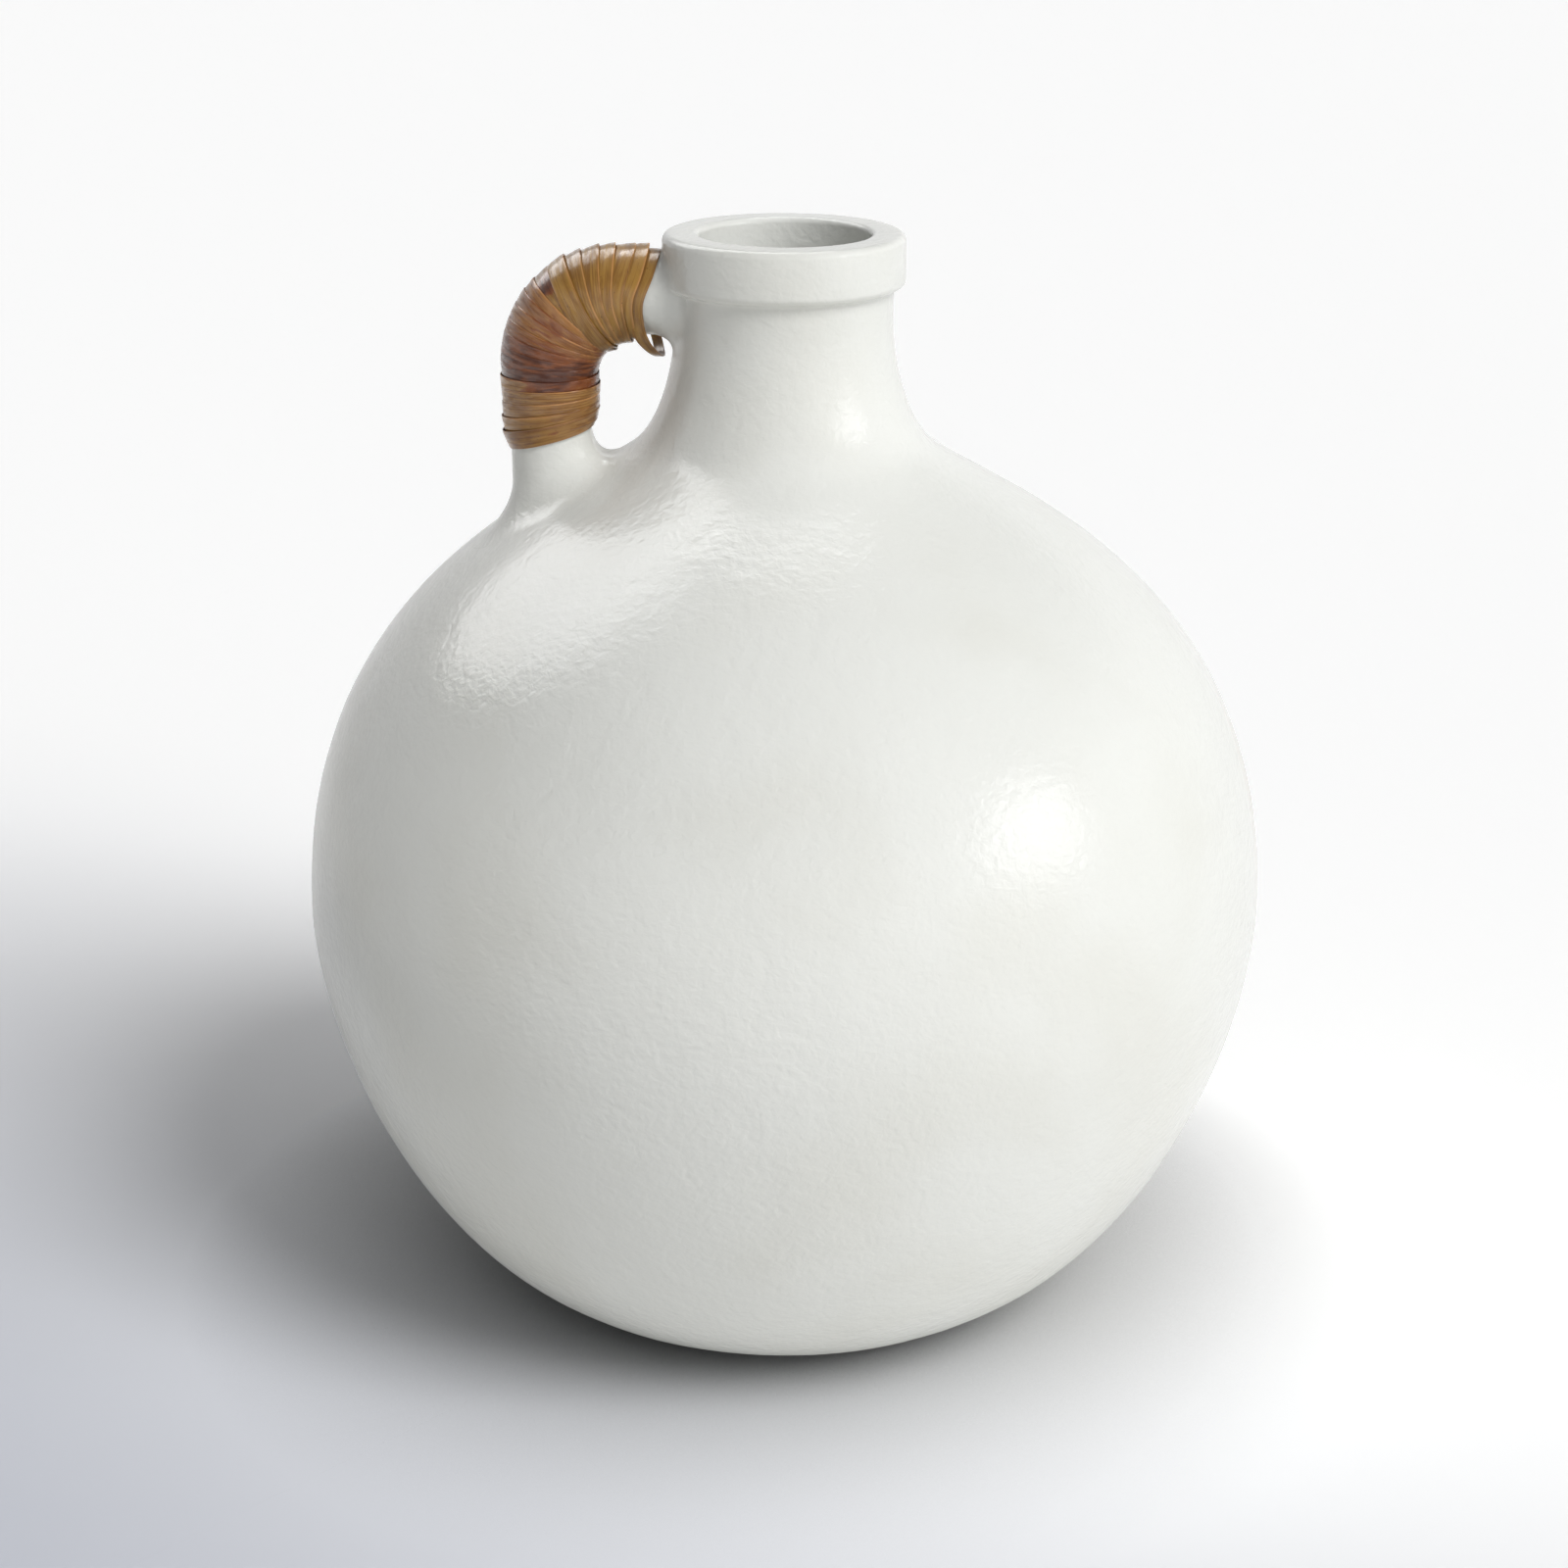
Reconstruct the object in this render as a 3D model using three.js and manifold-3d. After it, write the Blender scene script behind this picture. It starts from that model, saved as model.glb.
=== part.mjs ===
// A globe vase of glazed earthenware with a bent handle bound in flat cane.
// Millimetres, +Z up, origin at the middle of the foot, handle towards -X.
// The ware is thrown in sections and luted: two globe halves, neck, collar and handle.

import * as THREE from "three";
import { LoftGeometry } from "three/addons/geometries/LoftGeometry.js";
import { mergeVertices } from "three/addons/utils/BufferGeometryUtils.js";
import Module from "manifold-3d";

const wasm = await Module();
wasm.setup();

// Globe
const GLOBE_RADIUS = 150;
const BELLY_HEIGHT = 133.4;
const SHOULDER_RISE = 141.6; // belly to the root of the neck
const SHOULDER_RADIUS = 47;
const SHOULDER_SLOPE = THREE.MathUtils.degToRad(38);
const FOOT_RADIUS = 60;
const FOOT_SLOPE = THREE.MathUtils.degToRad(8);
const WALL = 7.3;
const FLOOR = 8;

// How far each curve of the profile keeps the direction of its end
const FOOT_PULL = 60;
const UNDER_BELLY_PULL = 40;
const OVER_BELLY_PULL = 100;
const SHOULDER_PULL = 28;
const NECK_ROOT_PULL = 14;
const WAIST_PULL = 8;

// Neck and collar
const NECK_RADIUS = 32.9;
const NECK_LENGTH = 47; // root of the neck to the underside of the collar
const WAIST_LENGTH = 8.5; // straight stretch under the collar
const COLLAR_RADIUS = 36.5;
const COLLAR_HEIGHT = 18;
const COLLAR_COVE = 4.2; // height of the curve from neck to collar
const LIP_ROUND = 2.4;
const MOUTH_ROUND = 1.8;

// Handle
const HANDLE_REACH = 70.8; // vase axis to the axis of the upright leg
const HANDLE_DROP = 18.4; // rim to the axis of the upper leg
const HANDLE_BEND = 24.6;
const HANDLE_RADIUS = 12.2;
const OUTER_FILLET = 16;
const INNER_FILLET = 8.6;
const SIDE_FILLET = 12;
const NECK_FILLET = 7;
const FILLET_SWEEP = 0.8; // share of the full fillet that is worked before it feathers out

// Cane strips, wound in one line from the shoulder to the collar
const CANE_WIDTH = 4.6;
const CANE_THICKNESS = 0.7;
const CANE_BUILD = 2.4; // height that the shingled turns rise to
const CANE_TURN_GAP = 0.5;
const LOWER_LOOPS = 5;
const MIDDLE_LOOPS = 6;
const UPPER_LOOPS = 10;
const LOWER_LEAN = 3.2; // first turn: inner side above the middle
const UPPER_LEAN = 1.4; // last turn: top ahead of the middle
const LEAN_LOOPS = 4; // turns over which a lean fades
const LOOSE_SAG = 4.4; // last loop below the handle
const LOOSE_SLIP = 2.5; // last loop slipped towards the neck under the handle
const LEAST_TURN_GAP = 0.4;

// Clearances
const LUTE_GAP = 0.3;
const CANE_SEAT = 0.3;
const CANE_COLLAR_GAP = 0.8;
const CANE_BUTT_GAP = 0.3;

// Facets
const TURNED_SEGMENTS = 48;
const LONG_CURVE_STEPS = 11;
const NECK_CURVE_STEPS = 9;
const ROUND_STEPS = 4;
const MOUTH_STEPS = 2;
const HANDLE_SIDES = 24;
const FILLET_STEPS = 5;
const LEG_STEPS = 2;
const BEND_STEPS = 9;
const LOOP_STEPS = 24;

const neckRootHeight = BELLY_HEIGHT + SHOULDER_RISE;
const collarHeight = neckRootHeight + NECK_LENGTH;
const rimHeight = collarHeight + COLLAR_HEIGHT;
const waistHeight = collarHeight - WAIST_LENGTH;
const mouthRadius = NECK_RADIUS - WALL;

const v2 = (x, y) => new THREE.Vector2(x, y);

// Outer profile, as radius and height
const footEdge = v2(FOOT_RADIUS, 0);
const footDirection = v2(Math.cos(FOOT_SLOPE), Math.sin(FOOT_SLOPE));
const neckRoot = v2(SHOULDER_RADIUS, neckRootHeight);
const shoulderDirection = v2(-Math.cos(SHOULDER_SLOPE), Math.sin(SHOULDER_SLOPE));
const waist = v2(NECK_RADIUS, waistHeight);
const along = (point, direction, distance) => point.clone().addScaledVector(direction, distance);
const UP = v2(0, 1);

// Each luted joint is split evenly to both sides of its middle.
const bellyBelow = v2(GLOBE_RADIUS, BELLY_HEIGHT - LUTE_GAP / 2);
const bellyAbove = v2(GLOBE_RADIUS, BELLY_HEIGHT + LUTE_GAP / 2);
const domeEdge = along(neckRoot, shoulderDirection, -LUTE_GAP / 2);
const neckEdge = along(neckRoot, shoulderDirection, LUTE_GAP / 2);

const bowlCurve = new THREE.CubicBezierCurve(
  footEdge,
  along(footEdge, footDirection, FOOT_PULL),
  along(bellyBelow, UP, -UNDER_BELLY_PULL),
  bellyBelow,
);
const domeCurve = new THREE.CubicBezierCurve(
  bellyAbove,
  along(bellyAbove, UP, OVER_BELLY_PULL),
  along(domeEdge, shoulderDirection, -SHOULDER_PULL),
  domeEdge,
);
const neckCurve = new THREE.CubicBezierCurve(
  neckEdge,
  along(neckEdge, shoulderDirection, NECK_ROOT_PULL),
  along(waist, UP, -WAIST_PULL),
  waist,
);

// Points along a profile curve, moved inwards (or outwards, if negative) by a distance.
function offsetCurve(curve, steps, inwards) {
  const points = [];
  for (let i = 0; i <= steps; i++) {
    const t = i / steps;
    const tangent = curve.getTangent(t);
    points.push(curve.getPoint(t).add(v2(-tangent.y, tangent.x).multiplyScalar(inwards)));
  }
  return points;
}

// A profile of radius and height, turned about +Z.
function turned(profile) {
  const geometry = new THREE.LatheGeometry(profile, TURNED_SEGMENTS);
  return geometry.rotateX(Math.PI / 2);
}

// A wall between an outer curve and its inner offset, ending square to the curve.
function turnedWall(outer, inner) {
  const profile = [...outer, ...inner.reverse()];
  profile.push(profile[0].clone());
  return turned(profile);
}

function globeLowerHalf() {
  const outer = offsetCurve(bowlCurve, LONG_CURVE_STEPS, 0);
  const inner = offsetCurve(bowlCurve, LONG_CURVE_STEPS, WALL);
  return turned([v2(0, 0), ...outer, ...inner.reverse(), v2(0, FLOOR)]);
}

function globeUpperHalf() {
  const outer = offsetCurve(domeCurve, LONG_CURVE_STEPS, 0);
  return turnedWall(outer, offsetCurve(domeCurve, LONG_CURVE_STEPS, WALL));
}

function neck() {
  const top = collarHeight - LUTE_GAP / 2;
  const outer = offsetCurve(neckCurve, NECK_CURVE_STEPS, 0);
  outer.push(v2(NECK_RADIUS, top));
  const inner = offsetCurve(neckCurve, NECK_CURVE_STEPS, WALL);
  inner.push(v2(mouthRadius, top));
  return turnedWall(outer, inner);
}

// Outer side of the collar: a cove from the neck, the upright band and the rounded lip.
function collarSide(start) {
  const bandStart = start + COLLAR_COVE;
  const side = new THREE.Path();
  side.moveTo(NECK_RADIUS, start);
  side.bezierCurveTo(
    NECK_RADIUS, start + COLLAR_COVE / 2,
    COLLAR_RADIUS, start + COLLAR_COVE / 3,
    COLLAR_RADIUS, bandStart,
  );
  side.lineTo(COLLAR_RADIUS, rimHeight - LIP_ROUND);
  side.absarc(COLLAR_RADIUS - LIP_ROUND, rimHeight - LIP_ROUND, LIP_ROUND, 0, Math.PI / 2);
  return side.getPoints(ROUND_STEPS);
}

function rimCollar() {
  const start = collarHeight + LUTE_GAP / 2;
  const mouth = new THREE.Path();
  const roundCentre = mouthRadius + MOUTH_ROUND;
  mouth.absarc(roundCentre, rimHeight - MOUTH_ROUND, MOUTH_ROUND, Math.PI / 2, Math.PI);
  mouth.lineTo(mouthRadius, start);
  const profile = [...collarSide(start), ...mouth.getPoints(MOUTH_STEPS)];
  profile.push(profile[0].clone());
  return turned(profile);
}

// Height of the outside of the dome and neck at a radius.
const shoulderLine = [
  ...offsetCurve(domeCurve, LONG_CURVE_STEPS, 0),
  ...offsetCurve(neckCurve, NECK_CURVE_STEPS, 0),
];
function shoulderHeight(radius) {
  const next = shoulderLine.findIndex((point) => point.x <= radius);
  const [a, b] = [shoulderLine[next - 1], shoulderLine[next]];
  return THREE.MathUtils.mapLinear(radius, a.x, b.x, a.y, b.y);
}

// Everything that the handle is scribed to, larger by the luted gap.
function handleScribe() {
  const line = [
    ...offsetCurve(domeCurve, LONG_CURVE_STEPS, -LUTE_GAP),
    ...offsetCurve(neckCurve, NECK_CURVE_STEPS, -LUTE_GAP),
    ...collarSide(collarHeight).map((point) => v2(point.x + LUTE_GAP, point.y)),
  ];
  const base = v2(0, line[0].y);
  const top = v2(0, line.at(-1).y);
  return turned([base, ...line, top]);
}

// Axis of the handle in the plane of X and Z: upright leg, bend, upper leg.
const upperLegHeight = rimHeight - HANDLE_DROP;
const bendCentre = v2(HANDLE_BEND - HANDLE_REACH, upperLegHeight - HANDLE_BEND);
const legFoot = shoulderHeight(HANDLE_REACH);
const handleAxis = new THREE.Path();
handleAxis.moveTo(-HANDLE_REACH, legFoot);
handleAxis.lineTo(-HANDLE_REACH, bendCentre.y);
handleAxis.absarc(bendCentre.x, bendCentre.y, HANDLE_BEND, Math.PI, Math.PI / 2, true);
handleAxis.lineTo(-mouthRadius, upperLegHeight);
const handleLength = handleAxis.getLength();

// Place, direction and outward side of the handle at a distance from the shoulder.
function handleAt(distance) {
  const share = THREE.MathUtils.clamp(distance / handleLength, 0, 1);
  const tangent = handleAxis.getTangentAt(share);
  const outwards = v2(-tangent.y, tangent.x);
  return { centre: handleAxis.getPointAt(share), tangent, outwards };
}

// A ring of the handle through an outer and an inner point of the X and Z plane.
function handleRing(outer, inner, halfDepth) {
  const ring = [];
  const middle = outer.clone().add(inner).multiplyScalar(0.5);
  const reach = outer.clone().sub(middle);
  for (let i = 0; i < HANDLE_SIDES; i++) {
    const angle = (2 * Math.PI * i) / HANDLE_SIDES;
    const point = along(middle, reach, Math.cos(angle));
    ring.push(new THREE.Vector3(point.x, -halfDepth * Math.sin(angle), point.y));
  }
  return ring;
}

// The fillets at the shoulder: a wide one downhill, a tight one towards the neck.
const slope = Math.atan2(
  shoulderHeight(HANDLE_REACH - HANDLE_RADIUS) - shoulderHeight(HANDLE_REACH + HANDLE_RADIUS),
  2 * HANDLE_RADIUS,
);
const outerSweep = FILLET_SWEEP * (Math.PI / 2 - slope);
const innerSweep = FILLET_SWEEP * (Math.PI / 2 + slope);
const outerSpread = OUTER_FILLET * (1 - Math.cos(outerSweep));
const innerSpread = INNER_FILLET * (1 - Math.cos(innerSweep));
const outerLine = -HANDLE_REACH - HANDLE_RADIUS;
const innerLine = -HANDLE_REACH + HANDLE_RADIUS;
const outerFilletTop =
  shoulderHeight(outerSpread - outerLine) + OUTER_FILLET * Math.sin(outerSweep);
const innerFilletTop =
  shoulderHeight(-innerLine - innerSpread) + INNER_FILLET * Math.sin(innerSweep);

function shoulderFilletRing(share) {
  const outerAngle = outerSweep * share;
  const innerAngle = innerSweep * share;
  const sideAngle = (FILLET_SWEEP * share * Math.PI) / 2;
  const outer = v2(
    outerLine - OUTER_FILLET * (1 - Math.cos(outerAngle)),
    outerFilletTop - OUTER_FILLET * Math.sin(outerAngle),
  );
  const inner = v2(
    innerLine + INNER_FILLET * (1 - Math.cos(innerAngle)),
    innerFilletTop - INNER_FILLET * Math.sin(innerAngle),
  );
  return { outer, inner, depth: HANDLE_RADIUS + SIDE_FILLET * (1 - Math.cos(sideAngle)) };
}

function handleCore() {
  const rings = [];
  const add = ({ outer, inner, depth }) => rings.push(handleRing(outer, inner, depth));

  // The root is sunk into the wall and scribed off there.
  const root = shoulderFilletRing(1);
  const sink = v2(0, -WALL / 2);
  add({ outer: root.outer.clone().add(sink), inner: root.inner.clone().add(sink), depth: root.depth });
  for (let i = FILLET_STEPS; i >= 0; i--) add(shoulderFilletRing(i / FILLET_STEPS));

  for (let i = 1; i <= LEG_STEPS; i++) {
    const share = i / LEG_STEPS;
    const outer = v2(outerLine, THREE.MathUtils.lerp(outerFilletTop, bendCentre.y, share));
    const inner = v2(innerLine, THREE.MathUtils.lerp(innerFilletTop, bendCentre.y, share));
    add({ outer, inner, depth: HANDLE_RADIUS });
  }
  for (let i = 1; i <= BEND_STEPS; i++) {
    const angle = Math.PI - (Math.PI / 2) * (i / BEND_STEPS);
    const ray = v2(Math.cos(angle), Math.sin(angle));
    add({
      outer: along(bendCentre, ray, HANDLE_BEND + HANDLE_RADIUS),
      inner: along(bendCentre, ray, HANDLE_BEND - HANDLE_RADIUS),
      depth: HANDLE_RADIUS,
    });
  }

  // The fillet at the neck hangs below and beside the upper leg, and the top stays level.
  const filletStart = Math.max(bendCentre.x, -NECK_RADIUS - NECK_FILLET);
  const upperRing = (x, angle) => {
    const spread = NECK_FILLET * (1 - Math.cos(angle));
    add({
      outer: v2(x, upperLegHeight + HANDLE_RADIUS),
      inner: v2(x, upperLegHeight - HANDLE_RADIUS - spread),
      depth: HANDLE_RADIUS + spread,
    });
  };
  const neckSweep = (FILLET_SWEEP * Math.PI) / 2;
  for (let i = 1; i <= FILLET_STEPS; i++) {
    const angle = (neckSweep * i) / FILLET_STEPS;
    upperRing(filletStart + NECK_FILLET * Math.sin(angle), angle);
  }
  upperRing(-mouthRadius, neckSweep);

  const loft = new LoftGeometry(rings, { capStart: true, capEnd: true });
  return cut(loft, handleScribe());
}

// A closed geometry as a solid that can be cut.
function solid(geometry) {
  const bare = new THREE.BufferGeometry();
  bare.setAttribute("position", geometry.getAttribute("position"));
  bare.setIndex(geometry.index);
  const merged = mergeVertices(bare);
  return new wasm.Manifold(
    new wasm.Mesh({
      numProp: 3,
      vertProperties: merged.attributes.position.array,
      triVerts: new Uint32Array(merged.index.array),
    }),
  );
}

// What a cutting tool leaves of a closed geometry.
function cut(geometry, tool) {
  const left = solid(geometry).subtract(solid(tool)).getMesh();
  const result = new THREE.BufferGeometry();
  result.setAttribute("position", new THREE.BufferAttribute(left.vertProperties, 3));
  result.setIndex(new THREE.BufferAttribute(left.triVerts, 1));
  result.computeVertexNormals();
  return result;
}

// The cane winds at a steady pitch, from the inner fillet to the collar's side.
const endAngle = CANE_WIDTH / HANDLE_RADIUS;
const seatRadius = (HANDLE_RADIUS + CANE_SEAT) / Math.cos(endAngle / 2);
const totalLoops = LOWER_LOOPS + MIDDLE_LOOPS + UPPER_LOOPS;
const caneStart = innerFilletTop - LOWER_LEAN - legFoot + CANE_WIDTH / 2;
const caneEndPoint = -COLLAR_RADIUS - CANE_COLLAR_GAP - UPPER_LEAN - CANE_WIDTH / 2;
const caneEnd = handleLength - (-mouthRadius - caneEndPoint);
const canePitch = (caneEnd - caneStart) / totalLoops;

// How loose the strip hangs: only the last loop does, most under the handle.
function looseness(angle) {
  const inLastLoop = angle > 2 * Math.PI * (totalLoops - 1);
  const under = (1 - Math.cos(angle)) / 2;
  return inLastLoop ? under * under : 0;
}

// Place on the core under the middle of the strip; angle 0 is the outside of the bend.
function caneSeat(angle) {
  const loop = angle / (2 * Math.PI);
  const fadeLow = Math.max(0, 1 - loop / LEAN_LOOPS);
  const fadeHigh = Math.max(0, 1 - (totalLoops - loop) / LEAN_LOOPS);
  const lean = Math.cos(angle) * (UPPER_LEAN * fadeHigh - LOWER_LEAN * fadeLow);
  return handleAt(caneStart + canePitch * loop + lean + LOOSE_SLIP * looseness(angle));
}

function radial({ outwards }, angle) {
  const out = Math.cos(angle);
  return new THREE.Vector3(outwards.x * out, -Math.sin(angle), outwards.y * out);
}

function seatPoint(angle) {
  const seat = caneSeat(angle);
  return new THREE.Vector3(seat.centre.x, 0, seat.centre.y)
    .addScaledVector(radial(seat, angle), seatRadius);
}

// A section of the strip. Its far edge rides over the next turn, steeper where turns crowd.
function caneSection(angle, aim) {
  const seat = caneSeat(angle);
  const normal = radial(seat, aim);
  const forward = new THREE.Vector3(seat.tangent.x, 0, seat.tangent.y);
  const pitch = seatPoint(angle).distanceTo(seatPoint(angle + 2 * Math.PI));
  const rise = Math.min((CANE_THICKNESS + CANE_TURN_GAP) / pitch, 1);
  const level = Math.sqrt(1 - rise * rise);
  const width = Math.min(CANE_WIDTH, CANE_BUILD / rise);
  const height = (CANE_THICKNESS * level + width * rise) / 2 + LOOSE_SAG * looseness(angle);
  const middle = seatPoint(angle).addScaledVector(normal, height);
  const across = forward.clone().multiplyScalar(level).addScaledVector(normal, rise);
  const through = normal.clone().multiplyScalar(level).addScaledVector(forward, -rise);
  const halfFlat = width / 3;
  const outline = [
    [-width / 2, 0],
    [-halfFlat, -CANE_THICKNESS / 2],
    [halfFlat, -CANE_THICKNESS / 2],
    [width / 2, 0],
    [halfFlat, CANE_THICKNESS / 2],
    [-halfFlat, CANE_THICKNESS / 2],
  ];
  return outline.map(([a, t]) => middle.clone().addScaledVector(across, a).addScaledVector(through, t));
}

// One unbroken strip. Both ends run straight for the strip's width and are cut square.
function caneStrip(name, firstLoop, loops) {
  const buttAngle = CANE_BUTT_GAP / 2 / seatRadius;
  const start = 2 * Math.PI * firstLoop + buttAngle;
  const end = 2 * Math.PI * (firstLoop + loops) - buttAngle;
  const steps = Math.round(loops * LOOP_STEPS);
  const sections = [caneSection(start, start + endAngle / 2)];
  sections.push(caneSection(start + endAngle, start + endAngle / 2));
  for (let i = 1; i < steps; i++) {
    const angle = THREE.MathUtils.lerp(start + endAngle, end - endAngle, i / steps);
    sections.push(caneSection(angle, angle));
  }
  sections.push(caneSection(end - endAngle, end - endAngle / 2));
  sections.push(caneSection(end, end - endAngle / 2));
  const gap = leastGap(sections);
  const verdict = gap > LEAST_TURN_GAP ? "clear" : "too close";
  console.log(`${name}: ${loops} loops, least gap to itself ${gap.toFixed(2)} mm, ${verdict}`);
  return new LoftGeometry(sections, { capStart: true, capEnd: true });
}

// Least distance between points of a strip that lie half a loop or more apart along it.
function leastGap(sections) {
  let least = Infinity;
  sections.forEach((section, i) => {
    for (const other of sections.slice(i + LOOP_STEPS / 2)) {
      for (const p of section) {
        for (const q of other) least = Math.min(least, p.distanceTo(q));
      }
    }
  });
  return least;
}

const glaze = () => new THREE.MeshStandardMaterial({ color: 0xe6e7e1, roughness: 0.38, metalness: 0 });
const cane = (color) => new THREE.MeshStandardMaterial({ color, roughness: 0.45, metalness: 0 });
const HONEY = 0xa9793d;
const DARK_BROWN = 0x5b3420;
const GOLDEN = 0xb68747;

const vase = new THREE.Group();
function addPiece(name, geometry, material) {
  const mesh = new THREE.Mesh(geometry, material);
  mesh.name = name;
  vase.add(mesh);
}

addPiece("globe_lower_half", globeLowerHalf(), glaze());
addPiece("globe_upper_half", globeUpperHalf(), glaze());
addPiece("neck", neck(), glaze());
addPiece("rim_collar", rimCollar(), glaze());
addPiece("handle_core", handleCore(), glaze());

const middleStart = LOWER_LOOPS;
const upperStart = LOWER_LOOPS + MIDDLE_LOOPS;
addPiece("cane_strip_lower", caneStrip("cane_strip_lower", 0, LOWER_LOOPS), cane(HONEY));
addPiece("cane_strip_middle", caneStrip("cane_strip_middle", middleStart, MIDDLE_LOOPS), cane(DARK_BROWN));
addPiece("cane_strip_upper", caneStrip("cane_strip_upper", upperStart, UPPER_LOOPS), cane(GOLDEN));

export default vase;
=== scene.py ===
# A globe vase of white-glazed earthenware whose bent handle is bound in flat cane.
# Metres, +Z up, origin at the middle of the foot, handle towards -X, seen from -Y.

import math

import bmesh
import bpy
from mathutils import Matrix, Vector, noise
from mathutils.geometry import interpolate_bezier


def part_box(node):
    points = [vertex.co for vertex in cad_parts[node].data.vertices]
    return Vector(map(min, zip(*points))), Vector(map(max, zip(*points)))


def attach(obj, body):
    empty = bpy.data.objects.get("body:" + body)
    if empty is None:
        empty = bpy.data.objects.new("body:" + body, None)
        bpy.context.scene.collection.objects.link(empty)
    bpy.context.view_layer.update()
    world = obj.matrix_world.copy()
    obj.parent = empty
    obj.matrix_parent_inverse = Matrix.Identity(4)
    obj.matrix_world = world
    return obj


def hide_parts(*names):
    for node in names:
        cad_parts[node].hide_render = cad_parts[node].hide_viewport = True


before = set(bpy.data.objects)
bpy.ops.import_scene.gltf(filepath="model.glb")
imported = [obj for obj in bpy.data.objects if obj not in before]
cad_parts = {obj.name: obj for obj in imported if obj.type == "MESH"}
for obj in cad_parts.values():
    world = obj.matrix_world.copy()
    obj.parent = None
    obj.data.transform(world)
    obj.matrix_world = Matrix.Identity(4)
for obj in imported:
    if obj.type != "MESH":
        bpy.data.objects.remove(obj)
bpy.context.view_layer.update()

# Globe, neck and collar
# Earthenware thrown on the wheel as bowl, dome, neck and collar, luted together while damp and
# glazed inside and out, so that one white skin covers the joints. The foot is left bare, because
# it stands on the kiln shelf.

FOOT_RADIUS = 0.060
FOOT_SLOPE = math.radians(8)
SHOULDER_SLOPE = math.radians(38)
WAIST_RADIUS = 0.0329
WAIST_LENGTH = 0.0085
COVE_HEIGHT = 0.0042
LIP_ROUND = 0.0024
MOUTH_RADIUS = 0.0256
MOUTH_ROUND = 0.0018
WALL = 0.0073
FLOOR_THICKNESS = 0.008
# Each curve of the profile: its pull at the start and at the end, and its steps
BOWL_CURVE = (0.060, 0.040, 44)
DOME_CURVE = (0.100, 0.028, 48)
NECK_CURVE = (0.014, 0.008, 28)
COVE_CURVE = (0.0021, 0.0028, 12)
ROUND_STEPS = 8
WHEEL_STEPS = 192
SEAM = 0.00002

bowl_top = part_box("globe_lower_half")[1]
dome_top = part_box("globe_upper_half")[1]
neck_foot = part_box("neck")[1].x
collar_low, collar_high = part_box("rim_collar")
rim = collar_high.z

UP = Vector((0, 0, 1))
foot_edge = Vector((FOOT_RADIUS, 0, 0))
belly = Vector((bowl_top.x, 0, bowl_top.z))
neck_root = Vector((neck_foot, 0, dome_top.z))
waist = Vector((WAIST_RADIUS, 0, collar_low.z - WAIST_LENGTH))
collar_foot = Vector((WAIST_RADIUS, 0, collar_low.z))
collar_side = Vector((collar_high.x, 0, collar_low.z + COVE_HEIGHT))
foot_direction = Vector((math.cos(FOOT_SLOPE), 0, math.sin(FOOT_SLOPE)))
shoulder_direction = Vector((-math.cos(SHOULDER_SLOPE), 0, math.sin(SHOULDER_SLOPE)))


def profile_curve(start, leaving, end, arriving, curve):
    """Points of a curve of the profile, without its start; both directions point along it."""
    pull_start, pull_end, steps = curve
    after = start + pull_start * leaving
    before = end - pull_end * arriving
    return interpolate_bezier(start, after, before, end, steps + 1)[1:]


def quarter_round(centre, radius, first_angle):
    """Points of a quarter turn about a centre; angle 0 is straight out."""
    angles = [first_angle + math.pi / 2 * i / ROUND_STEPS for i in range(ROUND_STEPS + 1)]
    return [centre + radius * Vector((math.cos(a), 0, math.sin(a))) for a in angles]


wall_line = [foot_edge]
wall_line += profile_curve(foot_edge, foot_direction, belly, UP, BOWL_CURVE)
wall_line += profile_curve(belly, UP, neck_root, shoulder_direction, DOME_CURVE)
wall_line += profile_curve(neck_root, shoulder_direction, waist, UP, NECK_CURVE)

collar_line = [collar_foot]
collar_line += profile_curve(collar_foot, UP, collar_side, UP, COVE_CURVE)
lip_centre = Vector((collar_high.x - LIP_ROUND, 0, rim - LIP_ROUND))
collar_line += quarter_round(lip_centre, LIP_ROUND, 0)
outer_line = wall_line + collar_line

mouth_centre = Vector((MOUTH_RADIUS + MOUTH_ROUND, 0, rim - MOUTH_ROUND))
inner_line = quarter_round(mouth_centre, MOUTH_ROUND, math.pi / 2)
inner_line.append(Vector((MOUTH_RADIUS, 0, collar_low.z)))
for i in range(len(wall_line) - 1, -1, -1):
    ahead = wall_line[min(i + 1, len(wall_line) - 1)] - wall_line[max(i - 1, 0)]
    inwards = Vector((-ahead.z, 0, ahead.x)).normalized()
    inner_line.append(wall_line[i] + WALL * inwards)

foot_line = [foot_edge * i / 3 for i in range(3)]
floor_edge = inner_line[-1]
floor_middle = Vector((0, 0, FLOOR_THICKNESS))
floor_line = [floor_edge.lerp(floor_middle, i / 3) for i in range(1, 4)]
profile = foot_line + outer_line + inner_line + floor_line

bpy.ops.object.select_all(action="DESELECT")
bpy.ops.mesh.primitive_plane_add(size=FOOT_RADIUS)
vase = bpy.context.object
vase.name = "glazed_vase"
bpy.ops.object.mode_set(mode="EDIT")
bpy.ops.mesh.merge(type="CENTER")
for here, there in zip(profile, profile[1:]):
    bpy.ops.mesh.extrude_region_move(TRANSFORM_OT_translate={"value": there - here})
bpy.ops.mesh.select_all(action="SELECT")
bpy.ops.mesh.spin(steps=WHEEL_STEPS, angle=math.tau, center=(0, 0, 0), axis=(0, 0, 1))
bpy.ops.mesh.select_all(action="SELECT")
bpy.ops.mesh.remove_doubles(threshold=SEAM)
bpy.ops.mesh.normals_make_consistent(inside=False)
bpy.ops.object.mode_set(mode="OBJECT")
bpy.ops.object.shade_smooth()

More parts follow.
